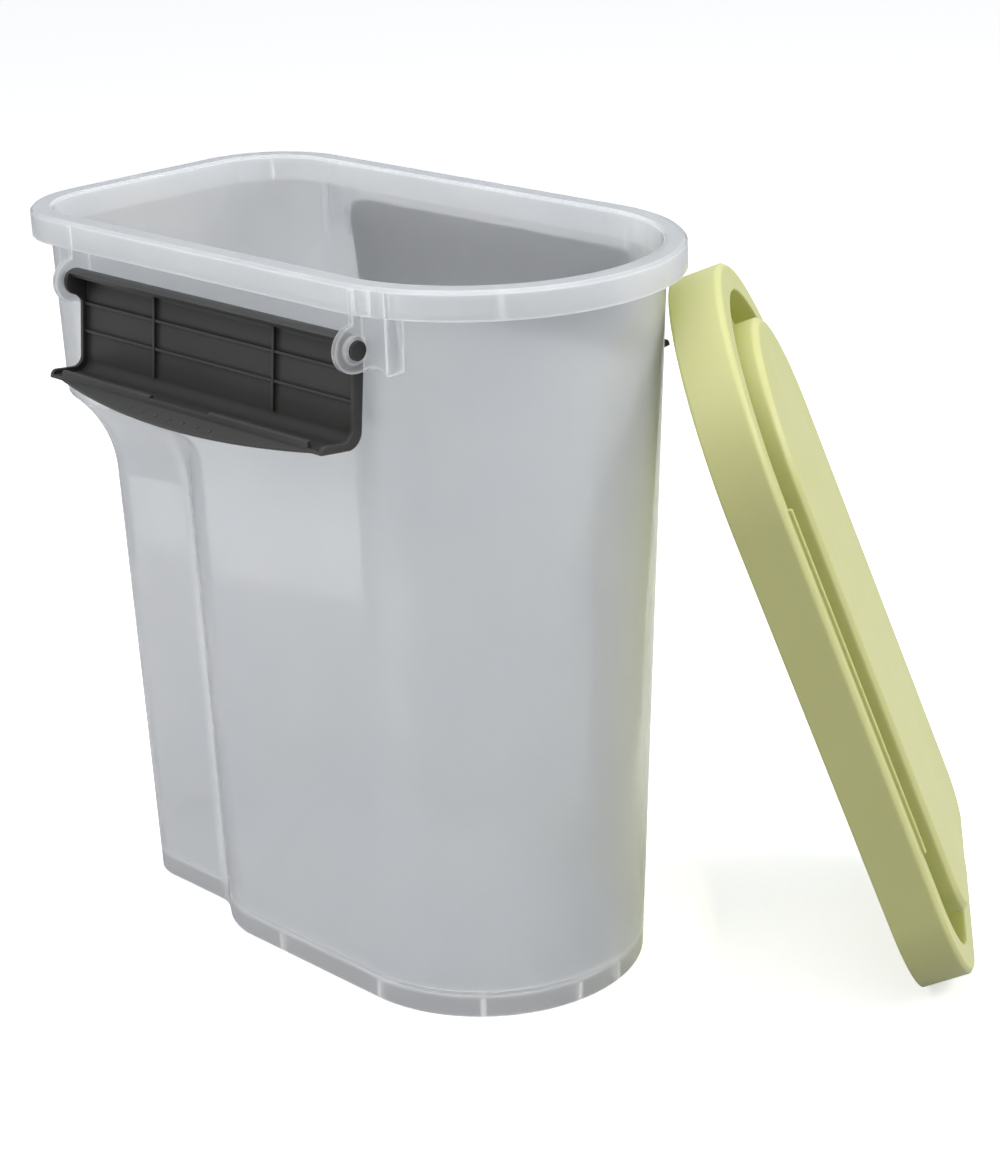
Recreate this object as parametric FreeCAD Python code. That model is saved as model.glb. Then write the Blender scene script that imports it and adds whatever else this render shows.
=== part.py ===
"""Pet food storage box: a tapered clear tub with a narrow grip neck, a lift-off lid that
leans beside it, and a swinging closing clip on each long side. Millimetres, +Z up."""
import FreeCAD
import Part
import math
import os

# Rim of the tub
RIM_FRONT = 200.0          # x of the half-round end, on the rim
RIM_BACK = -200.0          # x of the squarer end, on the rim
RIM_HALF = 106.6           # half of the rim's width
RIM_CORNER = 56.3          # corner radius of the squarer end
RIM_TOP = 417.0
RIM_SKIRT = 15.4           # height of the skirt that hangs from the rim
RIM_BEVEL = 1.8            # bevel of the rim's outer top edge
RIM_PLATE = 2.5            # thickness of the rim's flat top

# Tapered wall of the tub
WALL = 2.3
TOP_INSET = 10.2           # wall to rim edge, at the rim
BASE_HALF = 88.4           # half width at the floor
BASE_FRONT = 164.4         # x of the half-round end at the floor
BASE_BACK = -189.4         # x of the squarer end, were it carried to the floor
BODY_CORNER = 46.0

# Narrow grip neck under the squarer end
NECK_HALF = 70.0
NECK_BACK = -162.0
NECK_CORNER = 30.0
NECK_DRAFT_SIDE = 0.016    # growth per millimetre of height
NECK_DRAFT_BACK = 0.014
BEND_X = -64.0             # middle of the bend from the neck to the main wall
BEND_SLOPE = 34.4          # degrees between the main wall and the slanted wall
BEND_INNER = 25.0          # radius where the slanted wall meets the neck
BEND_OUTER = 60.0          # radius where it meets the main wall
COVE_START = 258.0         # height where the neck begins to flare out
COVE_RADIUS = 67.5
NECK_PROUD = 0.4           # the neck's outline stands this far outside the main wall
NECK_END = 60.0            # the neck's form runs on to here, inside the main body
END_SPARE = 40.0           # extra length of forms that are trimmed afterwards
HUGE = 400.0               # half size of the trimming blocks

# Floor and foot ring
FOOT = 12.0                # underside of the floor
FLOOR = 2.5
GUSSET = 2.0
GUSSET_REACH = 9.0
GUSSET_PLACES = (-7.0, 77.0)    # x of the gussets along the straight sides
GUSSET_TURNS = (47.0, 10.0)     # degrees round the half-round end
WEB_TURNS = (-75.5, -39.5, 0.0, 39.5, 75.5)
WEB_CORNER_TURN = 135.0
STEP_WIDE = 1.1            # small step round the inside of the mouth
STEP_DEEP = 1.4

# Clip, in its own place: u outward from the tub, w up, hinge axis at 0, 0
AXIS_Y = 107.3
AXIS_Z = 384.5
CLIP_MID = -8.5            # x of the clip's middle
CLIP_HALF = 114.5
CLIP_WALL = 2.2
CLIP_PLATE = 2.9           # thickness of the upright plate and its rolled top
CLIP_LIP = 1.8             # thickness of the level lip and the finger tab
ROLL_RADIUS = 9.3
ROLL_U = -0.5              # centre of the rolled top
ROLL_W = -2.0
ROLL_END = 50.0            # degrees above level where the roll stops
LIP_REACH = 17.0
LIP_DROP = 52.5
CORNER = 9.0               # rounding from the plate to the lip
CHEEK_FRONT = -3.7
TRUNNION = 5.15
TRUNNION_REACH = 121.5
TAB_REACH = 11.5
TAB_HALF = 110.0
TAB_SLOPE = 28.0
RIDGE_GAP = 25.0           # half length of the lowered middle of the catch
NUBS = 7
NUB_PITCH = 11.3
NUB_SIDES = 8
CLIP_STOP = 0.5            # end play between clip and ear
RIDGE_HIGH = 4.0           # catch above the lip
RIDGE_WIDE = 3.4
RIDGE_NOTCH = 1.8          # how much lower its middle is
RIDGE_END = 11.0           # from the clip's end to the catch
CHEEK_BEND = 6.0           # radius from the cheek to the lip's thick end
CHEEK_NOSE = 3.5
CHEEK_HEAD = 7.4
LIP_END = 4.5              # thickness of the lip's ends
RIB_THICK = 1.6
RIB_LEVELS = (-12.7, -28.3)
RIB_PLACES = (-50.0, 50.0)
RIB_LONG = 44.0

# Ears of the tub that carry the clips
EAR_RADIUS = 12.3
EAR_THICK = 3.2
EAR_BORE = 5.22
COLLAR_RADIUS = 7.3
COLLAR_HIGH = 1.7
BOSS_LONG = 17.3           # hollow bracket beside each ear
BOSS_FACE = 101.5
BOSS_LOW = 372.0
BOSS_ARCH = 3.5            # rise of the arch under it
EAR_ROOT = 90.0            # y where ear and bracket start, inside the wall

# Lid
LID_PROUD = 4.0            # lid edge outside the rim edge
LID_HIGH = 29.0
LID_SEAT = 14.0            # underside of the moat above the skirt's edge
LID_WALL = 2.2
LID_RIM = 16.0
LID_BEVEL = 2.3
MOAT = 18.0
PANEL_HIGH = 8.3
PANEL_BEVEL = 2.8
CATCH_HALF = 103.0
CATCH_HIGH = 2.4
CATCH_WIDE = 2.6
CATCH_BEVEL = 0.6

# Where the lid leans, beside the tub
LEAN_YAW = 38.3
LEAN = 20.3
LEAN_X = 256.4
LEAN_Y = 174.1


def vec(x, y, z):
    return FreeCAD.Vector(x, y, z)


def line(a, b):
    return Part.LineSegment(a, b).toShape()


def arc(a, b, c):
    return Part.Arc(a, b, c).toShape()


def prism(wire, height):
    return Part.Face(wire).extrude(vec(0, 0, height))


def single(shape):
    """The one solid that a union should have left."""
    shape = shape.removeSplitter()
    if len(shape.Solids) != 1:
        raise ValueError("a piece came out as %d solids" % len(shape.Solids))
    return shape.Solids[0]


def outline(back, front, half, corner, z):
    """Closed outline, half round at +X and with two round corners at -X."""
    c = math.sqrt(0.5)
    mid = front - half
    far = back + corner
    low = half - corner
    return Part.Wire([
        line(vec(far, -half, z), vec(mid, -half, z)),
        arc(vec(mid, -half, z), vec(mid + half * c, -half * c, z), vec(front, 0, z)),
        arc(vec(front, 0, z), vec(mid + half * c, half * c, z), vec(mid, half, z)),
        line(vec(mid, half, z), vec(far, half, z)),
        arc(vec(far, half, z), vec(far - corner * c, low + corner * c, z), vec(back, low, z)),
        line(vec(back, low, z), vec(back, -low, z)),
        arc(vec(back, -low, z), vec(far - corner * c, -low - corner * c, z), vec(far, -half, z)),
    ])


def rim_outline(inset, z):
    return outline(RIM_BACK + inset, RIM_FRONT - inset, RIM_HALF - inset, RIM_CORNER - inset, z)


def body_half(z):
    return BASE_HALF + (RIM_HALF - TOP_INSET - BASE_HALF) * z / RIM_TOP


def body_back(z):
    return BASE_BACK + (RIM_BACK + TOP_INSET - BASE_BACK) * z / RIM_TOP


def neck_half(z):
    return NECK_HALF + NECK_DRAFT_SIDE * z


def frustum(low, high):
    """Flat-sided solid between two polygons that have the same number of corners."""
    base = list(reversed(low))
    faces = [Part.Face(Part.makePolygon(base + base[:1])), Part.Face(Part.makePolygon(high + high[:1]))]
    for i in range(len(low)):
        j = (i + 1) % len(low)
        faces.append(Part.Face(Part.makePolygon([low[i], low[j], high[j], high[i], low[i]])))
    return Part.makeSolid(Part.makeShell(faces))


def polygon(x, y, radius, z):
    turns = [2 * math.pi * i / NUB_SIDES for i in range(NUB_SIDES)]
    return [vec(x + radius * math.cos(a), y + radius * math.sin(a), z) for a in turns]


def rising_edges(solid):
    return [e for e in solid.Edges if e.BoundBox.ZLength > 5]


def body_form(inset, bottom, top):
    """Plain tapered body: flat walls, two round corners at -X, and a leaning cone at +X."""
    growth = (body_half(RIM_TOP) - BASE_HALF) / RIM_TOP
    mid = BASE_FRONT - BASE_HALF
    mid_top = RIM_FRONT - TOP_INSET - body_half(RIM_TOP)
    lean_angle = math.atan((mid_top - mid) / RIM_TOP)
    slope = math.atan(growth)
    spread = math.tan(math.asin(math.sin(slope) * math.cos(lean_angle)))
    tip_z = (inset - BASE_HALF) / growth
    tip = vec(mid + math.tan(lean_angle) * tip_z, 0, tip_z)
    axis = vec(math.sin(lean_angle), 0, math.cos(lean_angle))
    near = (bottom - END_SPARE - tip_z) / math.cos(lean_angle)
    far = (top + END_SPARE - tip_z) / math.cos(lean_angle)
    cone = Part.makeCone(near * spread, far * spread, far - near, tip + axis * near, axis)
    cone = cone.common(Part.makeBox(2 * HUGE, 2 * HUGE, top - bottom, vec(-HUGE, -HUGE, bottom)))
    normal = vec(0, math.cos(slope), -math.sin(slope))
    touch = axis - normal * axis.dot(normal)

    def corners(z):
        x = tip.x + (z - tip_z) * touch.x / touch.z
        y = body_half(z) - inset
        back = body_back(z) + inset
        return [vec(back, -y, z), vec(x, -y, z), vec(x, y, z), vec(back, y, z)]

    block = frustum(corners(bottom), corners(top))
    rear = [e for e in rising_edges(block) if e.CenterOfMass.x < 0]
    return single(block.makeFillet(BODY_CORNER - inset, rear).fuse(cone))


def neck_form(inset, bottom):
    """The narrow neck, flaring at its top along an arc until it is level."""
    level = COVE_START + COVE_RADIUS + inset

    def corners(z):
        y = neck_half(z) - inset
        back = NECK_BACK - NECK_DRAFT_BACK * z + inset
        return [vec(back, -y, z), vec(NECK_END, -y, z), vec(NECK_END, y, z), vec(back, y, z)]

    post = frustum(corners(bottom), corners(level + END_SPARE))
    rear = [e for e in rising_edges(post) if e.CenterOfMass.x < 0]
    post = post.makeFillet(NECK_CORNER - inset, rear)
    room = Part.makeBox(2 * HUGE, 2 * HUGE, RIM_TOP + END_SPARE - level, vec(-HUGE, -HUGE, level))
    form = single(post.fuse(room))
    around = []
    for edge in form.Edges:
        box = edge.BoundBox
        at_level = abs(box.ZMin - level) < 0.01 and box.ZLength < 0.01
        if at_level and box.XMin > -HUGE / 2 and edge.CenterOfMass.x < NECK_END - 0.1:
            around.append(edge)
    return form.makeFillet(COVE_RADIUS + inset, around)


def wide_form(inset, bottom):
    """The main wall's width at +X, ending in slanted walls that run in to the neck."""
    slant = math.tan(math.radians(BEND_SLOPE))
    off = inset / math.cos(math.radians(BEND_SLOPE))

    def corners(z):
        wide = body_half(z) + NECK_PROUD
        middle = (wide + neck_half(z)) / 2 - off
        low = neck_half(z) / 2
        wide = wide - inset
        points = [vec(BEND_X + (y - middle) / slant, y, z) for y in (wide, low)]
        left = [vec(p.x, -p.y, z) for p in reversed(points)]
        return left + [vec(HUGE, -wide, z), vec(HUGE, wide, z)] + points

    form = frustum(corners(bottom), corners(RIM_TOP + END_SPARE))
    outer = [e for e in rising_edges(form) if e.CenterOfMass.x < 0 and abs(e.CenterOfMass.y) > NECK_HALF]
    return form.makeFillet(BEND_OUTER - inset, outer)


def shell_form(inset, bottom, top):
    """The tub's outer form, or its inner form when inset by the wall."""
    form = single(neck_form(inset, bottom - 1).fuse(wide_form(inset, bottom - 1)))
    creases = []
    for edge in rising_edges(form):
        at = edge.CenterOfMass
        if BEND_X - 25 < at.x < BEND_X and abs(at.y) < NECK_HALF + 14 and edge.BoundBox.ZMin < COVE_START + 5:
            creases.append(edge)
    form = form.makeFillet(BEND_INNER + inset, creases)
    return single(body_form(inset, bottom, top).common(form))


def rim():
    """Flat rim with its outer edge bevelled and a skirt hanging from it."""
    block = prism(rim_outline(0, RIM_TOP - RIM_SKIRT), RIM_SKIRT)
    edges = [e for e in block.Edges if e.BoundBox.ZMin > RIM_TOP - 0.01]
    block = block.makeChamfer(RIM_BEVEL, edges)
    hollow = prism(rim_outline(WALL, RIM_TOP - RIM_SKIRT - 1), RIM_SKIRT + 1 - RIM_PLATE)
    return block.cut(hollow)


def rim_webs():
    """Small upright webs between the wall and the rim's skirt."""
    reach = TOP_INSET - WALL / 2
    low = RIM_TOP - RIM_SKIRT + 0.5
    blade = Part.makeBox(reach, GUSSET, RIM_SKIRT - 1, vec(-reach - WALL / 2, -GUSSET / 2, low))
    webs = []
    mid = RIM_FRONT - RIM_HALF
    for turn in WEB_TURNS:
        web = blade.copy()
        web.translate(vec(RIM_HALF, 0, 0))
        web.rotate(vec(0, 0, 0), vec(0, 0, 1), turn)
        web.translate(vec(mid, 0, 0))
        webs.append(web)
    far = RIM_BACK + RIM_CORNER
    for side in (1, -1):
        web = blade.copy()
        web.translate(vec(RIM_CORNER, 0, 0))
        web.rotate(vec(0, 0, 0), vec(0, 0, 1), side * WEB_CORNER_TURN)
        web.translate(vec(far, side * (RIM_HALF - RIM_CORNER), 0))
        webs.append(web)
    web = blade.copy()
    web.rotate(vec(0, 0, 0), vec(0, 0, 1), 180)
    web.translate(vec(RIM_BACK, 0, 0))
    webs.append(web)
    return webs


def foot_gussets():
    """Small upright gussets inside the foot ring."""
    places = [(x, BASE_HALF, 90.0) for x in GUSSET_PLACES]
    mid = BASE_FRONT - BASE_HALF
    for turn in GUSSET_TURNS:
        a = math.radians(turn)
        places.append((mid + BASE_HALF * math.cos(a), BASE_HALF * math.sin(a), turn))
    gussets = []
    for x, y, turn in places:
        for side in (1, -1):
            box = Part.makeBox(GUSSET_REACH, GUSSET, FOOT, vec(-GUSSET_REACH - WALL / 2, -GUSSET / 2, 1.0))
            box.rotate(vec(0, 0, 0), vec(0, 0, 1), side * turn)
            box.translate(vec(x, side * y, 0))
            gussets.append(box)
    return gussets


def ear():
    """One ear with its bracket, at the clip's +X end on the +Y side; x counts from the clip's middle."""
    near = CLIP_HALF + CLIP_STOP
    far = near + EAR_THICK
    along = vec(1, 0, 0)
    high = RIM_TOP - RIM_PLATE + 0.5 - BOSS_LOW
    plate = Part.makeCylinder(EAR_RADIUS, EAR_THICK, vec(near, AXIS_Y, AXIS_Z), along)
    root = Part.makeBox(EAR_THICK, AXIS_Y - EAR_ROOT, high, vec(near, EAR_ROOT, BOSS_LOW))
    collar = Part.makeCylinder(COLLAR_RADIUS, COLLAR_HIGH + 1, vec(far - 1, AXIS_Y, AXIS_Z), along)
    boss = Part.makeBox(BOSS_LONG, BOSS_FACE - EAR_ROOT, high, vec(far, EAR_ROOT, BOSS_LOW))
    room = Part.makeBox(BOSS_LONG - WALL, BOSS_FACE - WALL - EAR_ROOT + 1, high + 0.5,
                        vec(far, EAR_ROOT - 1, BOSS_LOW - 1))
    chord = BOSS_LONG / 2
    radius = (chord ** 2 + BOSS_ARCH ** 2) / (2 * BOSS_ARCH)
    middle = vec(far + chord, EAR_ROOT - 1, BOSS_LOW + BOSS_ARCH - radius)
    arch = Part.makeCylinder(radius, AXIS_Y - EAR_ROOT, middle, vec(0, 1, 0))
    boss = boss.cut(room.fuse(arch))
    bore = Part.makeCylinder(EAR_BORE, EAR_THICK + COLLAR_HIGH + 2, vec(near - 1, AXIS_Y, AXIS_Z), along)
    return plate.fuse([root, collar, boss]).cut(bore)


def ears():
    one = ear()
    two = one.mirror(vec(0, 0, 0), vec(1, 0, 0))
    pair = []
    for piece in (one, two):
        piece.translate(vec(CLIP_MID, 0, 0))
        pair.append(piece)
        pair.append(piece.mirror(vec(0, 0, 0), vec(0, 1, 0)))
    return pair


def tub():
    outer = shell_form(0.0, 0.0, RIM_TOP - 1)
    inner = shell_form(WALL, FOOT + FLOOR, RIM_TOP + 2)
    under = shell_form(WALL, -1.0, FOOT)
    solid = outer.fuse([rim()] + rim_webs() + ears())
    solid = solid.cut(inner)
    step = prism(rim_outline(TOP_INSET + WALL - STEP_WIDE, RIM_TOP - STEP_DEEP), STEP_DEEP + 1)
    solid = solid.cut(step)
    gussets = under.common(foot_gussets()[0].fuse(foot_gussets()[1:]))
    solid = solid.cut(under).fuse(gussets)
    return single(solid)


def clip_point(u, w):
    return vec(0, u, w)


def roll_point(radius, angle):
    a = math.radians(angle)
    return clip_point(ROLL_U + radius * math.cos(a), ROLL_W + radius * math.sin(a))


def along_x(wire, start, length):
    solid = Part.Face(wire).extrude(vec(length, 0, 0))
    solid.translate(vec(start, 0, 0))
    return solid


def clip_section():
    """The clip's through section: rolled top, upright plate and level lip."""
    back = ROLL_U - ROLL_RADIUS
    face = back + CLIP_PLATE
    inner = ROLL_RADIUS - CLIP_PLATE
    turn = CORNER - CLIP_PLATE
    c = math.sqrt(0.5)
    bottom = -LIP_DROP
    top = bottom + CLIP_LIP
    return Part.Wire([
        line(clip_point(LIP_REACH, bottom), clip_point(back + CORNER, bottom)),
        arc(clip_point(back + CORNER, bottom), clip_point(back + CORNER * (1 - c), bottom + CORNER * (1 - c)),
            clip_point(back, bottom + CORNER)),
        line(clip_point(back, bottom + CORNER), roll_point(ROLL_RADIUS, 180)),
        arc(roll_point(ROLL_RADIUS, 180), roll_point(ROLL_RADIUS, 120), roll_point(ROLL_RADIUS, ROLL_END)),
        line(roll_point(ROLL_RADIUS, ROLL_END), roll_point(inner, ROLL_END)),
        arc(roll_point(inner, ROLL_END), roll_point(inner, 120), roll_point(inner, 180)),
        line(roll_point(inner, 180), clip_point(face, top + turn)),
        arc(clip_point(face, top + turn), clip_point(face + turn * (1 - c), top + turn * (1 - c)),
            clip_point(face + turn, top)),
        line(clip_point(face + turn, top), clip_point(LIP_REACH, top)),
        line(clip_point(LIP_REACH, top), clip_point(LIP_REACH, bottom)),
    ])


def cheek_section():
    """Outline of the clip's end walls: round head, slim cheek, and the lip's thick end."""
    back = ROLL_U - ROLL_RADIUS
    c = math.sqrt(0.5)
    bottom = -LIP_DROP
    lip = bottom + LIP_END
    bend = CHEEK_BEND
    nose = CHEEK_NOSE
    head = CHEEK_HEAD
    end = roll_point(ROLL_RADIUS, ROLL_END)
    neck = -head - 4.0
    return Part.Wire([
        line(clip_point(LIP_REACH, bottom), clip_point(back + CORNER, bottom)),
        arc(clip_point(back + CORNER, bottom), clip_point(back + CORNER * (1 - c), bottom + CORNER * (1 - c)),
            clip_point(back, bottom + CORNER)),
        line(clip_point(back, bottom + CORNER), roll_point(ROLL_RADIUS, 180)),
        arc(roll_point(ROLL_RADIUS, 180), roll_point(ROLL_RADIUS, 120), end),
        arc(end, clip_point(head, -0.6), clip_point(0.5, -head)),
        arc(clip_point(0.5, -head), clip_point(CHEEK_FRONT + 1.1, neck + 1.6), clip_point(CHEEK_FRONT, neck)),
        line(clip_point(CHEEK_FRONT, neck), clip_point(CHEEK_FRONT, lip + bend)),
        arc(clip_point(CHEEK_FRONT, lip + bend),
            clip_point(CHEEK_FRONT + bend * (1 - c), lip + bend * (1 - c)),
            clip_point(CHEEK_FRONT + bend, lip)),
        line(clip_point(CHEEK_FRONT + bend, lip), clip_point(LIP_REACH - nose, lip)),
        arc(clip_point(LIP_REACH - nose, lip), clip_point(LIP_REACH - nose * (1 - c), lip - nose * (1 - c)),
            clip_point(LIP_REACH, lip - nose)),
        line(clip_point(LIP_REACH, lip - nose), clip_point(LIP_REACH, bottom)),
    ])


def hook_ridge():
    """Catch along the lip's edge, lower over its middle."""
    foot = -LIP_DROP + CLIP_LIP - 1
    top = foot + 1 + RIDGE_HIGH
    inner = LIP_REACH - RIDGE_WIDE
    corners = [(inner, foot), (LIP_REACH, foot), (LIP_REACH, top - 0.6), (LIP_REACH - 1, top),
               (inner + 1, top), (inner, foot)]
    section = Part.makePolygon([clip_point(u, w) for u, w in corners])
    half = CLIP_HALF - RIDGE_END
    notch = Part.makeBox(2 * RIDGE_GAP, 3 * RIDGE_WIDE, RIDGE_HIGH,
                         vec(-RIDGE_GAP, inner - RIDGE_WIDE, top - RIDGE_NOTCH))
    return along_x(section, -half, 2 * half).cut(notch)


def finger_tab():
    """Crescent tab that slopes down beyond the lip, with a row of small nubs."""
    root = LIP_REACH - 2.0
    middle = root + 2.0 + TAB_REACH
    rise = CLIP_LIP - 0.2
    start = clip_point(root, 0)
    left = start + vec(-TAB_HALF, 0, 0)
    right = start + vec(TAB_HALF, 0, 0)
    wire = Part.Wire([line(left, right), arc(right, vec(0, middle, 0), left)])
    tab = Part.Face(wire).extrude(vec(0, 0, rise))
    nubs = []
    for i in range(NUBS):
        x = (i - (NUBS - 1) / 2) * NUB_PITCH
        foot = polygon(x, root + 8.5, 1.9, rise - 0.4)
        nubs.append(frustum(foot, polygon(x, root + 8.5, 0.9, rise + 1.2)))
    tab = tab.fuse(nubs)
    tab.rotate(start, vec(1, 0, 0), -TAB_SLOPE)
    tab.translate(vec(0, 0, -LIP_DROP + 0.1))
    return tab


def clip_ribs():
    """Ribs on the clip's plate: two along it and two across it."""
    face = ROLL_U - ROLL_RADIUS + CLIP_PLATE
    sunk = 0.5
    half = CLIP_HALF - sunk
    ribs = []
    for w in RIB_LEVELS:
        start = vec(-half, face - sunk, w - RIB_THICK / 2)
        ribs.append(Part.makeBox(2 * half, RIB_THICK + sunk, RIB_THICK, start))
    for x in RIB_PLACES:
        start = vec(x - RIB_THICK / 2, face - sunk, -RIB_LONG)
        ribs.append(Part.makeBox(RIB_THICK, RIB_THICK + 0.6 + sunk, RIB_LONG, start))
    return ribs


def clip():
    """Clip for the +Y side, hanging straight down, with its hinge axis on the X axis."""
    shell = along_x(clip_section(), -CLIP_HALF, 2 * CLIP_HALF)
    pieces = [hook_ridge(), finger_tab()] + clip_ribs()
    for side in (1, -1):
        start = -CLIP_HALF if side < 0 else CLIP_HALF - CLIP_WALL
        pieces.append(along_x(cheek_section(), start, CLIP_WALL))
        stub = TRUNNION_REACH - CLIP_HALF + 1
        pieces.append(Part.makeCylinder(TRUNNION, stub, vec(side * (CLIP_HALF - 1), 0, 0), vec(side, 0, 0)))
    return single(shell.fuse(pieces))


def hang(solid):
    """Turns the clip to the angle at which its weight lets it rest, and puts it on its axis."""
    weight = solid.CenterOfMass
    tilt = math.degrees(math.atan2(-weight.y, -weight.z))
    solid = solid.copy()
    solid.rotate(vec(0, 0, 0), vec(1, 0, 0), tilt)
    solid.translate(vec(CLIP_MID, AXIS_Y, AXIS_Z))
    return solid, tilt


def lid_outline(inset, z):
    return rim_outline(inset - LID_PROUD, z)


def lid_ring(outer, inner, low, high):
    ring = prism(lid_outline(outer, low), high - low)
    return ring.cut(prism(lid_outline(inner, low - 1), high - low + 2))


def bevelled_top(solid, width, level):
    edges = [e for e in solid.Edges if e.BoundBox.ZMin > level - 0.01]
    return solid.makeChamfer(width, edges)


def lid():
    """Lid as moulded, mouth down: skirt, rim, sunk moat, raised panel, and hollow below."""
    inner = LID_RIM + MOAT
    top = LID_HIGH + PANEL_HIGH
    block = bevelled_top(prism(lid_outline(0, 0), LID_HIGH), LID_BEVEL, LID_HIGH)
    moat = lid_ring(LID_RIM, inner, LID_SEAT + LID_WALL, LID_HIGH + 1)
    panel = bevelled_top(prism(lid_outline(inner, LID_SEAT), top - LID_SEAT), PANEL_BEVEL, top)
    mouth = prism(lid_outline(LID_WALL, -1), LID_SEAT + 1)
    channel = lid_ring(LID_WALL, LID_RIM - LID_WALL, LID_SEAT - 1, LID_HIGH - LID_WALL)
    under = prism(lid_outline(inner + LID_WALL, LID_SEAT - 1), top - LID_WALL - LID_SEAT + 1)
    solid = block.cut(moat).fuse(panel).cut(mouth).cut(channel).cut(under)
    catches = []
    for side in (1, -1):
        y = side * (RIM_HALF + LID_PROUD - LID_RIM + 2.0) - CATCH_WIDE / 2
        start = vec(CLIP_MID - CATCH_HALF, y, LID_HIGH - 1)
        ridge = Part.makeBox(2 * CATCH_HALF, CATCH_WIDE, CATCH_HIGH + 1, start)
        catches.append(bevelled_top(ridge, CATCH_BEVEL, LID_HIGH + CATCH_HIGH))
    return single(solid.fuse(catches))


def lean(solid):
    """Stands the lid on its squarer end and leans it beside the tub."""
    yaw = math.radians(LEAN_YAW)
    tilt = math.radians(LEAN)
    out = vec(math.cos(yaw) * math.cos(tilt), math.sin(yaw) * math.cos(tilt), math.sin(tilt))
    up = vec(-math.cos(yaw) * math.sin(tilt), -math.sin(yaw) * math.sin(tilt), math.cos(tilt))
    side = out.cross(up)
    start = RIM_BACK - LID_PROUD
    matrix = FreeCAD.Matrix(up.x, side.x, out.x, LEAN_X - start * up.x,
                            up.y, side.y, out.y, LEAN_Y - start * up.y,
                            up.z, side.z, out.z, -start * up.z,
                            0, 0, 0, 1)
    solid = solid.copy()
    solid.Placement = FreeCAD.Placement(matrix).multiply(solid.Placement)
    return solid


def main():
    os.makedirs("parts", exist_ok=True)
    rear, tilt = hang(clip())
    solids = {
        "tub": tub(),
        "lid": lean(lid()),
        "rear_clip": rear,
        "front_clip": rear.mirror(vec(0, 0, 0), vec(0, 1, 0)),
    }
    box = FreeCAD.BoundBox()
    for solid in solids.values():
        box.add(solid.optimalBoundingBox(True, False))
    shift = vec(-box.Center.x, -box.Center.y, -box.ZMin)
    print("shift", shift, "clip tilt", round(tilt, 3))
    for name, solid in solids.items():
        solid.translate(shift)
        print(name, solid.ShapeType, solid.isValid(), len(solid.Solids), round(solid.Volume / 1000, 1), "cm3")
        solid.exportStep("parts/" + name + ".step")


main()
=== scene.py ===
"""Looks of the pet food storage box: milky tub, lime lid and two anthracite clips on a pale floor."""
import math

import bmesh
import bpy
from mathutils import Matrix, Vector


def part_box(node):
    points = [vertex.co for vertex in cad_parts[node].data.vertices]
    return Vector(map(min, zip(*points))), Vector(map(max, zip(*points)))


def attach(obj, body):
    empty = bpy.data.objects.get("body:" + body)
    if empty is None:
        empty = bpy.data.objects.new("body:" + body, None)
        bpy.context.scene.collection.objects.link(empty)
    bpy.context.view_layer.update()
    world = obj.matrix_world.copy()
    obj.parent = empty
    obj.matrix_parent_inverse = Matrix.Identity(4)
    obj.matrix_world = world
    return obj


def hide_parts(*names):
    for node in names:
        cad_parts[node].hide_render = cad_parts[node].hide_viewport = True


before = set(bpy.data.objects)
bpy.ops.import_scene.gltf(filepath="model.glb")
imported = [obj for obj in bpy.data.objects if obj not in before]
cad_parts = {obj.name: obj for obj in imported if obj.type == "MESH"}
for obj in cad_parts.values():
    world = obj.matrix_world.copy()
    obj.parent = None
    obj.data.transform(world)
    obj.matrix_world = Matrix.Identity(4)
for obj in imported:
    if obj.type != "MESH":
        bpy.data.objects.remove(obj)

bl_info = {
    "name": "Pet food storage box",
    "version": (1, 0, 0),
    "blender": (4, 5, 0),
    "location": "View3D > Sidebar > Storage Box",
    "description": "Finishes a pet food storage box with its lid and clips",
    "category": "Add Mesh",
}

MERGE_DISTANCE = 1e-6
FLAT_ANGLE = math.radians(0.2)
PHOTO_LONG_SIDE = 1168.0
PHOTO_FOCAL = 2654.99
SENSOR = 36.0

# Where the camera stands, in the tub's own coordinates, whose origin lies under the rim's middle
FLOOR_PALE = (0.86, 0.86, 0.86)
FLOOR_BOUNCE = (0.32, 0.32, 0.33)
FLOOR_THROUGH = 0.35       # how much of the floor's paleness shows through plastic and in gloss
PAINTED_WALL_GLOW = (0.0, 0.002, 0.006)   # painted glow: emission that stands in for light that has wandered inside the milky plastic
PAINTED_EDGE_GLOW = (0.27, 0.271, 0.272)   # painted glow: emission that stands in for that light leaving the plastic at its edges, rim, floor, ribs and crease
RIM_BAND = (0.4012, 0.4180, 0.0008, 0.16)    # low, high, blur and share of the painted edge glow
# the same for the painted glow round the tub's floor
FLOOR_BAND = (0.0115, 0.0170, 0.0030, 0.40)
FOOT_BAND = (-0.0010, 0.0115, 0.0010)
FOOT_SHADE = (0.76, 0.76, 0.76)      # below the floor the tub's inside is in shade
# painted glow lines along the foot's ribs: width, share of the edge glow, and each rib's place
RIB_WIDTH = 0.0022
RIB_GLOW_SHARE = 0.75
RIBS = ((-0.007, 90.0), (0.077, 90.0), (0.076, 47.0), (0.076, 10.0))   # x of its middle line, turn
CREASE_GLOW = (-0.0777, -0.002, 0.008, 0.30, 0.25)   # painted glow along the neck crease: x at the floor, lean, reach, top and share
SKY_THROUGH = 0.8      # how much of the white background shows through the plastic
SKY_FRONT = (1.0, 1.0, 1.0)
SKY_BACK = (0.46, 0.53, 0.62)
CAMERA_TURN = 0.7662363
CAMERA_PITCH = 0.3584933
CAMERA_ROLL = -0.0399610
CAMERA_SHIFT = (-0.0588375, -0.1899070, 1.5950717)


def box_middle():
    """The point under the middle of the rim, on the floor."""
    low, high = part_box("tub")
    reach = Vector((0.200, 0.0, 0.0))
    return Vector((low.x, (low.y + high.y) / 2, 0.0)) + reach


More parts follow.
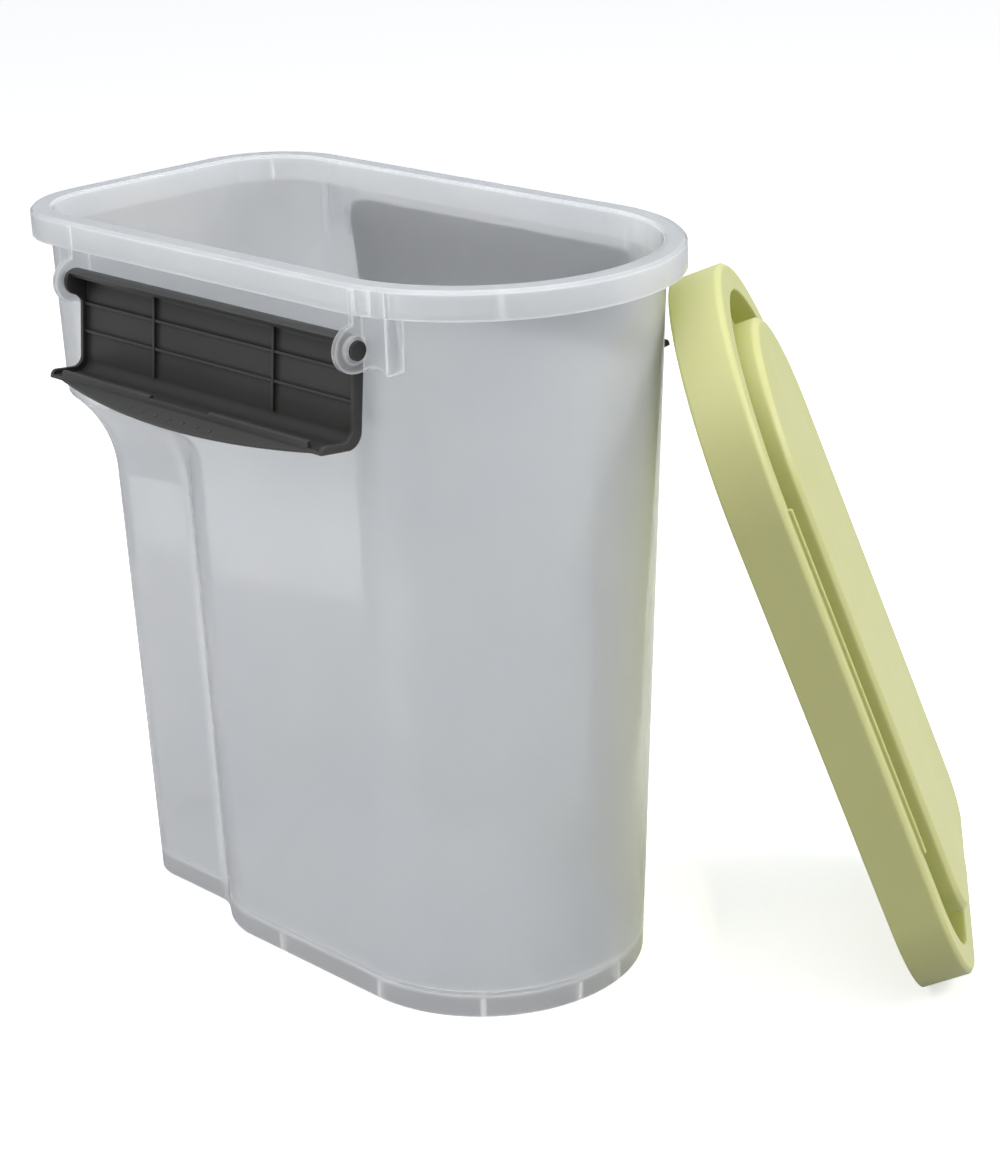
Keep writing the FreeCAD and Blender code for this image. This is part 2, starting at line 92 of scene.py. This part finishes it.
class StorageBoxFinish(bpy.types.PropertyGroup):
    """Colours and finish of the box's plastics."""
    tub_colour: bpy.props.FloatVectorProperty(
        name="Tub colour", description="Tint of the milky plastic", subtype="COLOR", size=3,
        min=0.0, max=1.0, default=(0.885, 0.886, 0.878))
    tub_clearness: bpy.props.FloatProperty(
        name="Tub clearness", description="Share of light that passes straight into the plastic",
        subtype="FACTOR", min=0.0, max=1.0, default=0.76)
    tub_roughness: bpy.props.FloatProperty(
        name="Tub roughness", description="How far the tub's faces blur what is seen through them",
        subtype="FACTOR", min=0.0, max=1.0, default=0.335)
    lid_colour: bpy.props.FloatVectorProperty(
        name="Lid colour", description="Lime of the lid", subtype="COLOR", size=3,
        min=0.0, max=1.0, default=(0.650, 0.655, 0.300))
    clip_colour: bpy.props.FloatVectorProperty(
        name="Clip colour", description="Anthracite of the two clips", subtype="COLOR", size=3,
        min=0.0, max=1.0, default=(0.054, 0.0535, 0.051))
    tub_rounding: bpy.props.FloatProperty(
        name="Tub rounding", description="Width of the rounding on the tub's edges",
        subtype="DISTANCE", unit="LENGTH", default=0.0003)
    lid_rounding: bpy.props.FloatProperty(
        name="Lid rounding", description="Width of the rounding on the lid's edges",
        subtype="DISTANCE", unit="LENGTH", default=0.0008)
    clip_rounding: bpy.props.FloatProperty(
        name="Clip rounding", description="Width of the rounding on the clips' edges",
        subtype="DISTANCE", unit="LENGTH", default=0.00035)
    smooth_angle: bpy.props.FloatProperty(
        name="Smooth angle", description="Edges flatter than this are shaded smooth",
        subtype="ANGLE", unit="ROTATION", default=math.radians(50.0))


class StorageBoxStage(bpy.types.PropertyGroup):
    """Floor, light and camera."""
    floor_size: bpy.props.FloatProperty(
        name="Floor size", description="Side of the square floor", subtype="DISTANCE", unit="LENGTH",
        default=30.0)
    sky_strength: bpy.props.FloatProperty(
        name="Sky strength", description="Level of the soft light from all round", default=0.53)
    top_power: bpy.props.FloatProperty(
        name="Top power", description="Power of the large lamp overhead", unit="POWER", default=15.0)
    front_power: bpy.props.FloatProperty(
        name="Front power", description="Power of the lamp above the front left", unit="POWER",
        default=5.0)
    side_power: bpy.props.FloatProperty(
        name="Side power", description="Power of the lamp on the lid's side", unit="POWER",
        default=25.0)
    card_power: bpy.props.FloatProperty(
        name="Card power", description="Power of the card that the front wall mirrors", unit="POWER",
        default=0.32)
    bounce_power: bpy.props.FloatProperty(
        name="Bounce power", description="Power of the light that the lid throws back on the tub",
        unit="POWER", default=0.20)
    lens: bpy.props.FloatProperty(
        name="Lens", description="Focal length of the camera", subtype="DISTANCE_CAMERA",
        unit="CAMERA", default=PHOTO_FOCAL * SENSOR / PHOTO_LONG_SIDE)


def add_group(name, inputs, outputs):
    """An empty shader group with number inputs and the outputs asked for."""
    group = bpy.data.node_groups.new(name, "ShaderNodeTree")
    for label, value in inputs:
        socket = group.interface.new_socket(name=label, in_out="INPUT", socket_type="NodeSocketFloat")
        socket.default_value = value
    for label in outputs:
        group.interface.new_socket(name=label, in_out="OUTPUT", socket_type="NodeSocketFloat")
    start = group.nodes.new("NodeGroupInput")
    end = group.nodes.new("NodeGroupOutput")
    return group, start, end


def calc(tree, kind, first, second):
    node = tree.nodes.new("ShaderNodeMath")
    node.operation = kind
    for socket, value in zip(node.inputs, (first, second)):
        if isinstance(value, (int, float)):
            socket.default_value = value
        else:
            tree.links.new(value, socket)
    return node.outputs[0]


def noise(tree, place, scale, detail, rough):
    node = tree.nodes.new("ShaderNodeTexNoise")
    tree.links.new(place, node.inputs["Vector"])
    for label, value in (("Scale", scale), ("Detail", detail), ("Roughness", rough)):
        if isinstance(value, (int, float)):
            node.inputs[label].default_value = value
        else:
            tree.links.new(value, node.inputs[label])
    return node.outputs["Fac"]


def spread(tree, value, low, high, to_low, to_high):
    node = tree.nodes.new("ShaderNodeMapRange")
    tree.links.new(value, node.inputs["Value"])
    for label, number in (("From Min", low), ("From Max", high), ("To Min", to_low), ("To Max", to_high)):
        node.inputs[label].default_value = number
    return node.outputs["Result"]


def grain_group():
    """Spark-eroded mould grain and the slow waves of cooled plastic, as one height."""
    group, start, end = add_group(
        "mould_grain", [("Grain Scale", 900.0), ("Wave Scale", 9.0), ("Wave Share", 0.5)],
        ["Height", "Cloud"])
    place = group.nodes.new("ShaderNodeTexCoord").outputs["Object"]
    fine = noise(group, place, start.outputs["Grain Scale"], 3.0, 0.6)
    slow = noise(group, place, start.outputs["Wave Scale"], 1.0, 0.4)
    waves = calc(group, "MULTIPLY", slow, start.outputs["Wave Share"])
    group.links.new(calc(group, "ADD", fine, waves), end.inputs["Height"])
    cloud = noise(group, place, 14.0, 4.0, 0.55)
    group.links.new(spread(group, cloud, 0.3, 0.7, 0.0, 1.0), end.inputs["Cloud"])
    return group


def scuff_group():
    """Thin, mostly level scratches and rubbed patches from handling, as a mask."""
    group, start, end = add_group("handling_scuffs", [("Amount", 0.5), ("Scale", 30.0)], ["Mask"])
    place = group.nodes.new("ShaderNodeTexCoord").outputs["Object"]
    stretch = group.nodes.new("ShaderNodeMapping")
    stretch.inputs["Rotation"].default_value = (0.5, 0.25, 0.9)
    stretch.inputs["Scale"].default_value = (1.0, 14.0, 32.0)
    group.links.new(place, stretch.inputs["Vector"])
    lines = noise(group, stretch.outputs["Vector"], start.outputs["Scale"], 6.0, 0.7)
    lines = spread(group, lines, 0.62, 0.72, 0.0, 1.0)
    patches = spread(group, noise(group, place, 7.0, 2.0, 0.5), 0.45, 0.65, 0.0, 1.0)
    mask = calc(group, "MULTIPLY", lines, patches)
    group.links.new(calc(group, "MULTIPLY", mask, start.outputs["Amount"]), end.inputs["Mask"])
    return group


def edge_group():
    """Mask that is 1 on sharp edges and falls to 0 a little way from them."""
    group, start, end = add_group("edge_mask", [("Reach", 0.002), ("Sharpness", 0.25)], ["Mask"])
    rounded = group.nodes.new("ShaderNodeBevel")
    rounded.samples = 4
    group.links.new(start.outputs["Reach"], rounded.inputs["Radius"])
    flat = group.nodes.new("ShaderNodeNewGeometry")
    turn = group.nodes.new("ShaderNodeVectorMath")
    turn.operation = "DOT_PRODUCT"
    group.links.new(rounded.outputs["Normal"], turn.inputs[0])
    group.links.new(flat.outputs["Normal"], turn.inputs[1])
    bend = calc(group, "SUBTRACT", 1.0, turn.outputs["Value"])
    share = calc(group, "DIVIDE", bend, start.outputs["Sharpness"])
    group.links.new(calc(group, "MINIMUM", share, 1.0), end.inputs["Mask"])
    return group


def band_group():
    """Mask of a level band of the object, by height."""
    group, start, end = add_group("level_band", [("Low", 0.0), ("High", 1.0), ("Blur", 0.001)], ["Mask"])
    place = group.nodes.new("ShaderNodeTexCoord").outputs["Object"]
    parts = group.nodes.new("ShaderNodeSeparateXYZ")
    group.links.new(place, parts.inputs[0])
    ends = (("Z", start.outputs["Low"]), (start.outputs["High"], "Z"))
    sides = []
    for upper, lower in ends:
        upper = parts.outputs["Z"] if upper == "Z" else upper
        lower = parts.outputs["Z"] if lower == "Z" else lower
        share = calc(group, "DIVIDE", calc(group, "SUBTRACT", upper, lower), start.outputs["Blur"])
        sides.append(calc(group, "MINIMUM", calc(group, "MAXIMUM", share, 0.0), 1.0))
    group.links.new(calc(group, "MULTIPLY", *sides), end.inputs["Mask"])
    return group


def crease_group():
    """Mask along the upright crease between the neck and the slanted wall, on both sides."""
    group, start, end = add_group("neck_crease", [("Foot X", 0.0), ("Lean", 0.0), ("Reach", 0.01)], ["Mask"])
    place = group.nodes.new("ShaderNodeTexCoord").outputs["Object"]
    parts = group.nodes.new("ShaderNodeSeparateXYZ")
    group.links.new(place, parts.inputs[0])
    line = calc(group, "ADD", start.outputs["Foot X"],
                calc(group, "MULTIPLY", parts.outputs["Z"], start.outputs["Lean"]))
    off = calc(group, "DIVIDE", calc(group, "SUBTRACT", parts.outputs["X"], line), start.outputs["Reach"])
    near = calc(group, "SUBTRACT", 1.0, calc(group, "MULTIPLY", off, off))
    group.links.new(calc(group, "MAXIMUM", near, 0.0), end.inputs["Mask"])
    return group


def rib_group():
    """Mask of an upright rib that runs out from a middle line, mirrored to the other side."""
    group, start, end = add_group(
        "foot_rib", [("Middle X", 0.0), ("Middle Y", 0.0), ("Cosine", 1.0), ("Sine", 0.0), ("Width", 0.002)],
        ["Mask"])
    parts = group.nodes.new("ShaderNodeSeparateXYZ")
    group.links.new(group.nodes.new("ShaderNodeTexCoord").outputs["Object"], parts.inputs[0])
    x = calc(group, "SUBTRACT", parts.outputs["X"], start.outputs["Middle X"])
    y = calc(group, "SUBTRACT", parts.outputs["Y"], start.outputs["Middle Y"])
    y = calc(group, "ABSOLUTE", y, 0.0)
    across = calc(group, "SUBTRACT", calc(group, "MULTIPLY", x, start.outputs["Sine"]),
                  calc(group, "MULTIPLY", y, start.outputs["Cosine"]))
    along = calc(group, "ADD", calc(group, "MULTIPLY", x, start.outputs["Cosine"]),
                 calc(group, "MULTIPLY", y, start.outputs["Sine"]))
    off = calc(group, "DIVIDE", calc(group, "ABSOLUTE", across, 0.0), start.outputs["Width"])
    near = calc(group, "MAXIMUM", calc(group, "SUBTRACT", 1.0, off), 0.0)
    group.links.new(calc(group, "MULTIPLY", near, calc(group, "GREATER_THAN", along, 0.0)),
                    end.inputs["Mask"])
    return group


def place_group(tree, group, **values):
    node = tree.nodes.new("ShaderNodeGroup")
    node.node_tree = group
    for label, value in values.items():
        node.inputs[label.replace("_", " ")].default_value = value
    return node


def colour_mix(tree, factor, first, second):
    node = tree.nodes.new("ShaderNodeMix")
    node.data_type = "RGBA"
    tree.links.new(factor, node.inputs["Factor"])
    for label, value in (("A", first), ("B", second)):
        if isinstance(value, bpy.types.NodeSocket):
            tree.links.new(value, node.inputs[label])
        else:
            node.inputs[label].default_value = (*value, 1.0)
    return node.outputs["Result"]


def shared_groups():
    names = {"mould_grain": grain_group, "handling_scuffs": scuff_group, "edge_mask": edge_group,
             "level_band": band_group, "neck_crease": crease_group, "foot_rib": rib_group}
    return {name: bpy.data.node_groups.get(name) or make() for name, make in names.items()}


def plastic(name, colour, tint, roughness, grain, depth, waves, scuffs, edge, edge_highlight):
    """Moulded plastic: cloudy colour, mould grain, scuffs, softened edges and a painted highlight along the
    edges.
    """
    groups = shared_groups()
    material = bpy.data.materials.new(name)
    material.use_nodes = True
    tree = material.node_tree
    shader = tree.nodes["Principled BSDF"]
    surface = place_group(tree, groups["mould_grain"], Grain_Scale=grain, Wave_Share=waves)
    scuffed = place_group(tree, groups["handling_scuffs"], Amount=scuffs)
    darker = tuple(c * t for c, t in zip(colour, tint))
    shade = colour_mix(tree, surface.outputs["Cloud"], colour, darker)
    edges = place_group(tree, groups["edge_mask"], Reach=2.0 * edge)
    # painted highlight: the base colour lightened along sharp edges
    highlighted_edges = colour_mix(tree, calc(tree, "MULTIPLY", edges.outputs["Mask"], 0.5), shade,
                        tuple(min(1.0, c * edge_highlight) for c in colour))
    tree.links.new(highlighted_edges, shader.inputs["Base Color"])
    rough = spread(tree, surface.outputs["Cloud"], 0.0, 1.0, roughness - 0.03, roughness + 0.03)
    rough = calc(tree, "ADD", rough, calc(tree, "MULTIPLY", scuffed.outputs["Mask"], 0.15))
    tree.links.new(rough, shader.inputs["Roughness"])
    soft = tree.nodes.new("ShaderNodeBevel")
    soft.samples = 4
    soft.inputs["Radius"].default_value = edge
    bump = tree.nodes.new("ShaderNodeBump")
    bump.inputs["Strength"].default_value = 1.0
    bump.inputs["Distance"].default_value = depth
    tree.links.new(surface.outputs["Height"], bump.inputs["Height"])
    tree.links.new(soft.outputs["Normal"], bump.inputs["Normal"])
    tree.links.new(bump.outputs["Normal"], shader.inputs["Normal"])
    return material, shader


def shade_corners(material, shader, deep, reach):
    """Deeper colour in corners and grooves, where little light gets in."""
    tree = material.node_tree
    corner = tree.nodes.new("ShaderNodeAmbientOcclusion")
    corner.samples = 8
    corner.inputs["Distance"].default_value = reach
    whole = shader.inputs["Base Color"].links[0].from_socket
    open_share = spread(tree, corner.outputs["AO"], 0.35, 0.90, 0.0, 1.0)
    tree.links.new(colour_mix(tree, open_share, deep, whole), shader.inputs["Base Color"])


def tub_plastic(look):
    material, shader = plastic("milky_polypropylene", look.tub_colour, (0.945, 0.955, 0.975),
                               look.tub_roughness, 420.0, 0.00002, 3.0, 0.2, 0.0008, 1.05)
    tree = material.node_tree
    groups = shared_groups()
    # painted glow: emission along sharp edges, the rim and floor bands, the foot's ribs and the neck crease,
    # over a faint painted wall glow
    glow = place_group(tree, groups["edge_mask"], Reach=0.0025).outputs["Mask"]
    for low, high, blur, share in (RIM_BAND, FLOOR_BAND):
        band = place_group(tree, groups["level_band"], Low=low, High=high, Blur=blur)
        glow = calc(tree, "MAXIMUM", glow, calc(tree, "MULTIPLY", band.outputs["Mask"], share))
    low, high, blur = FOOT_BAND
    band = place_group(tree, groups["level_band"], Low=low, High=high, Blur=blur)
    whole = shader.inputs["Base Color"].links[0].from_socket
    tree.links.new(colour_mix(tree, band.outputs["Mask"], whole, FOOT_SHADE), shader.inputs["Base Color"])
    middle = box_middle()
    for x, turn in RIBS:
        turn = math.radians(turn)
        rib = place_group(tree, groups["foot_rib"], Middle_X=middle.x + x, Middle_Y=middle.y,
                          Cosine=math.cos(turn), Sine=math.sin(turn), Width=RIB_WIDTH)
        lit = calc(tree, "MULTIPLY", calc(tree, "MULTIPLY", rib.outputs["Mask"], band.outputs["Mask"]),
                   RIB_GLOW_SHARE)
        glow = calc(tree, "MAXIMUM", glow, lit)
    x, lean, reach, top, share = CREASE_GLOW
    crease = place_group(tree, groups["neck_crease"], Foot_X=x + middle.x, Lean=lean, Reach=reach)
    band = place_group(tree, groups["level_band"], Low=-0.01, High=top, Blur=0.03)
    crease = calc(tree, "MULTIPLY", crease.outputs["Mask"], band.outputs["Mask"])
    glow = calc(tree, "MAXIMUM", glow, calc(tree, "MULTIPLY", crease, share))
    painted_glow = colour_mix(tree, glow, PAINTED_WALL_GLOW, PAINTED_EDGE_GLOW)
    tree.links.new(painted_glow, shader.inputs["Emission Color"])
    shader.inputs["Emission Strength"].default_value = 1.0
    shader.inputs["Transmission Weight"].default_value = look.tub_clearness
    shader.inputs["IOR"].default_value = 1.12
    shader.inputs["Coat Weight"].default_value = 0.8
    shader.inputs["Coat Roughness"].default_value = 0.10
    shader.inputs["Subsurface Weight"].default_value = 1.0
    shader.inputs["Subsurface Radius"].default_value = (1.0, 1.0, 1.0)
    shader.inputs["Subsurface Scale"].default_value = 0.006
    return material


def lid_plastic(look):
    material, shader = plastic("lime_polypropylene", look.lid_colour, (0.97, 0.975, 0.93),
                               0.46, 700.0, 0.00003, 2.0, 0.4, 0.0026, 1.08)
    shade_corners(material, shader, (0.52, 0.55, 0.17), 0.020)
    shader.inputs["Subsurface Weight"].default_value = 0.35
    shader.inputs["Subsurface Radius"].default_value = (1.0, 0.9, 0.4)
    shader.inputs["Subsurface Scale"].default_value = 0.004
    return material


def clip_plastic(look):
    material, shader = plastic("anthracite_plastic", look.clip_colour, (0.85, 0.85, 0.86),
                               0.50, 1100.0, 0.00005, 1.2, 0.6, 0.0009, 2.6)
    shade_corners(material, shader, (0.022, 0.022, 0.021), 0.012)
    shader.inputs["Specular IOR Level"].default_value = 0.42
    return material


def moulded_copy(node, name, body, material, angle, rounding=0.0):
    """A clean copy of a solid: merged, smooth over its curves, crisp at its real edges."""
    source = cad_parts[node]
    shape = bmesh.new()
    shape.from_mesh(source.data)
    bmesh.ops.remove_doubles(shape, verts=shape.verts, dist=MERGE_DISTANCE)
    if rounding:
        bmesh.ops.dissolve_limit(shape, angle_limit=FLAT_ANGLE, use_dissolve_boundaries=False,
                                 verts=shape.verts, edges=shape.edges)
    for face in shape.faces:
        face.smooth = True
        face.material_index = 0
    for edge in shape.edges:
        edge.smooth = edge.is_manifold and edge.calc_face_angle(math.pi) < angle
    mesh = bpy.data.meshes.new(name)
    shape.to_mesh(mesh)
    shape.free()
    if "custom_normal" in mesh.attributes:
        mesh.attributes.remove(mesh.attributes["custom_normal"])
    mesh.materials.append(material)
    piece = bpy.data.objects.new(name, mesh)
    bpy.context.scene.collection.objects.link(piece)
    if rounding:
        rounded = piece.modifiers.new("rounded_edges", "BEVEL")
        rounded.width = rounding
        rounded.segments = 2
        rounded.limit_method = "ANGLE"
        rounded.angle_limit = math.radians(38.0)
        rounded.use_clamp_overlap = True
    normals = piece.modifiers.new("even_normals", "WEIGHTED_NORMAL")
    normals.keep_sharp = True
    normals.weight = 80
    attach(piece, body)
    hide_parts(node)
    return piece


class STORAGEBOX_OT_tub(bpy.types.Operator):
    """Make the milky tub with its rim, neck, foot ring and ears"""
    bl_idname = "storage_box.tub"
    bl_label = "Tub"

    def execute(self, context):
        look = context.scene.storage_box_finish
        moulded_copy("tub", "tub_shell", "tub", tub_plastic(look), look.smooth_angle,
                     look.tub_rounding)
        return {"FINISHED"}


class STORAGEBOX_OT_lid(bpy.types.Operator):
    """Make the lime lid that leans beside the tub"""
    bl_idname = "storage_box.lid"
    bl_label = "Lid"

    def execute(self, context):
        look = context.scene.storage_box_finish
        moulded_copy("lid", "lid_shell", "lid", lid_plastic(look), look.smooth_angle,
                     look.lid_rounding)
        return {"FINISHED"}


class STORAGEBOX_OT_clips(bpy.types.Operator):
    """Make the two swinging clips"""
    bl_idname = "storage_box.clips"
    bl_label = "Clips"

    def execute(self, context):
        look = context.scene.storage_box_finish
        material = clip_plastic(look)
        for side in ("front", "rear"):
            moulded_copy(side + "_clip", "clip_" + side, side + "_clip", material,
                         look.smooth_angle, look.clip_rounding)
        return {"FINISHED"}


def make_floor(size):
    shape = bmesh.new()
    bmesh.ops.create_grid(shape, x_segments=1, y_segments=1, size=size / 2)
    mesh = bpy.data.meshes.new("floor")
    shape.to_mesh(mesh)
    shape.free()
    floor = bpy.data.objects.new("floor", mesh)
    bpy.context.scene.collection.objects.link(floor)
    floor.location.z = -0.0002
    material = bpy.data.materials.new("pale_floor")
    material.use_nodes = True
    tree = material.node_tree
    shader = tree.nodes["Principled BSDF"]
    shader.inputs["Roughness"].default_value = 0.9
    shader.inputs["Specular IOR Level"].default_value = 0.1
    path = tree.nodes.new("ShaderNodeLightPath")
    through = calc(tree, "MAXIMUM", path.outputs["Is Transmission Ray"], path.outputs["Is Glossy Ray"])
    seen = calc(tree, "MAXIMUM", path.outputs["Is Camera Ray"], calc(tree, "MULTIPLY", through, FLOOR_THROUGH))
    tree.links.new(colour_mix(tree, seen, FLOOR_BOUNCE, FLOOR_PALE), shader.inputs["Base Color"])
    shader.inputs["Emission Color"].default_value = (1.0, 1.0, 1.0, 1.0)
    tree.links.new(calc(tree, "MULTIPLY", seen, 0.56), shader.inputs["Emission Strength"])
    mesh.materials.append(material)


def make_sky(strength):
    world = bpy.data.worlds.new("soft_sky")
    bpy.context.scene.world = world
    world.use_nodes = True
    tree = world.node_tree
    sky = tree.nodes["Background"]
    place = tree.nodes.new("ShaderNodeTexCoord").outputs["Generated"]
    along = tree.nodes.new("ShaderNodeVectorMath")
    along.operation = "DOT_PRODUCT"
    along.inputs[1].default_value = (-math.cos(CAMERA_TURN), math.sin(CAMERA_TURN), 0.0)
    tree.links.new(place, along.inputs[0])
    back = spread(tree, along.outputs["Value"], -0.3, 0.8, 0.0, 1.0)
    path = tree.nodes.new("ShaderNodeLightPath")
    lit = colour_mix(tree, back, SKY_FRONT, SKY_BACK)
    tree.links.new(colour_mix(tree, path.outputs["Is Camera Ray"], lit, (1.0, 1.0, 1.0)),
                   sky.inputs["Color"])
    through = calc(tree, "MULTIPLY", path.outputs["Is Transmission Ray"], SKY_THROUGH)
    seen = calc(tree, "MAXIMUM", path.outputs["Is Camera Ray"], through)
    tree.links.new(spread(tree, seen, 0.0, 1.0, strength, 1.0), sky.inputs["Strength"])


def make_lamp(name, place, aim, size, power, height=None, colour=(1.0, 1.0, 1.0)):
    data = bpy.data.lights.new(name, "AREA")
    data.color = colour
    data.shape = "RECTANGLE" if height else "DISK"
    data.size = size
    if height:
        data.size_y = height
    data.energy = power
    lamp = bpy.data.objects.new(name, data)
    bpy.context.scene.collection.objects.link(lamp)
    lamp.location = place
    lamp.rotation_mode = "QUATERNION"
    lamp.rotation_quaternion = (Vector(aim) - Vector(place)).to_track_quat("-Z", "Y")
    return lamp


def make_camera(lens):
    """Camera at the photograph's place, from its turn, pitch, roll and shift."""
    level = Vector((-math.cos(CAMERA_TURN), math.sin(CAMERA_TURN), 0.0))
    side = Vector((math.sin(CAMERA_TURN), math.cos(CAMERA_TURN), 0.0))
    upright = Vector((0.0, 0.0, 1.0))
    ahead = math.cos(CAMERA_PITCH) * level - math.sin(CAMERA_PITCH) * upright
    top = math.sin(CAMERA_PITCH) * level + math.cos(CAMERA_PITCH) * upright
    right = math.cos(CAMERA_ROLL) * side + math.sin(CAMERA_ROLL) * top
    up = math.cos(CAMERA_ROLL) * top - math.sin(CAMERA_ROLL) * side
    turn = Matrix((right, up, ahead)).transposed()
    data = bpy.data.cameras.new("photo_camera")
    data.sensor_width = SENSOR
    data.lens = lens
    data.clip_end = 100.0
    camera = bpy.data.objects.new("photo_camera", data)
    bpy.context.scene.collection.objects.link(camera)
    camera.rotation_mode = "QUATERNION"
    camera.rotation_quaternion = Matrix((right, up, -ahead)).transposed().to_quaternion()
    camera.location = box_middle() - turn @ Vector(CAMERA_SHIFT)
    bpy.context.scene.camera = camera


class STORAGEBOX_OT_stage(bpy.types.Operator):
    """Make the floor, the soft light and the camera"""
    bl_idname = "storage_box.stage"
    bl_label = "Stage"

    def execute(self, context):
        stage = context.scene.storage_box_stage
        make_floor(stage.floor_size)
        make_sky(stage.sky_strength)
        make_lamp("top_lamp", (0.0, 0.0, 1.7), (0.0, 0.0, 0.0), 1.6, stage.top_power)
        make_lamp("front_lamp", (0.1, -1.4, 1.4), (0.0, 0.0, 0.3), 0.8, stage.front_power)
        make_lamp("side_lamp", (1.6, 1.3, 1.4), (0.1, 0.1, 0.2), 1.0, stage.side_power)
        corner = box_middle()
        make_lamp("white_card", corner + Vector((-0.459, -0.433, 0.125)), corner + Vector((-0.35, 0.033, 0.125)),
                  0.29, stage.card_power, 0.235)
        bounce = make_lamp("lid_bounce", corner + Vector((0.172, 0.092, 0.17)),
                           corner + Vector((0.076, 0.0, 0.17)), 0.10, stage.bounce_power, 0.28,
                           (1.0, 1.0, 0.45))
        bounce.visible_glossy = False
        bounce.visible_transmission = False
        make_camera(stage.lens)
        settings = context.scene.view_settings
        settings.view_transform = "Standard"
        return {"FINISHED"}


class STORAGEBOX_PT_panel(bpy.types.Panel):
    """Lists the pieces of the storage box"""
    bl_idname = "STORAGEBOX_PT_panel"
    bl_label = "Storage Box"
    bl_space_type = "VIEW_3D"
    bl_region_type = "UI"
    bl_category = "Storage Box"

    def draw(self, context):
        for group in (context.scene.storage_box_finish, context.scene.storage_box_stage):
            for name in group.bl_rna.properties.keys():
                if name not in ("rna_type", "name"):
                    self.layout.prop(group, name)
        for maker in MAKERS:
            self.layout.operator(maker.bl_idname)


MAKERS = (STORAGEBOX_OT_tub, STORAGEBOX_OT_lid, STORAGEBOX_OT_clips, STORAGEBOX_OT_stage)
CLASSES = (StorageBoxFinish, StorageBoxStage) + MAKERS + (STORAGEBOX_PT_panel,)


def register():
    for item in CLASSES:
        bpy.utils.register_class(item)
    bpy.types.Scene.storage_box_finish = bpy.props.PointerProperty(type=StorageBoxFinish)
    bpy.types.Scene.storage_box_stage = bpy.props.PointerProperty(type=StorageBoxStage)


def unregister():
    del bpy.types.Scene.storage_box_finish
    del bpy.types.Scene.storage_box_stage
    for item in reversed(CLASSES):
        bpy.utils.unregister_class(item)


def main():
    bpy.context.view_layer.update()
    register()
    bpy.ops.storage_box.tub()
    bpy.ops.storage_box.lid()
    bpy.ops.storage_box.clips()
    bpy.ops.storage_box.stage()


if __name__ == "__main__":
    main()
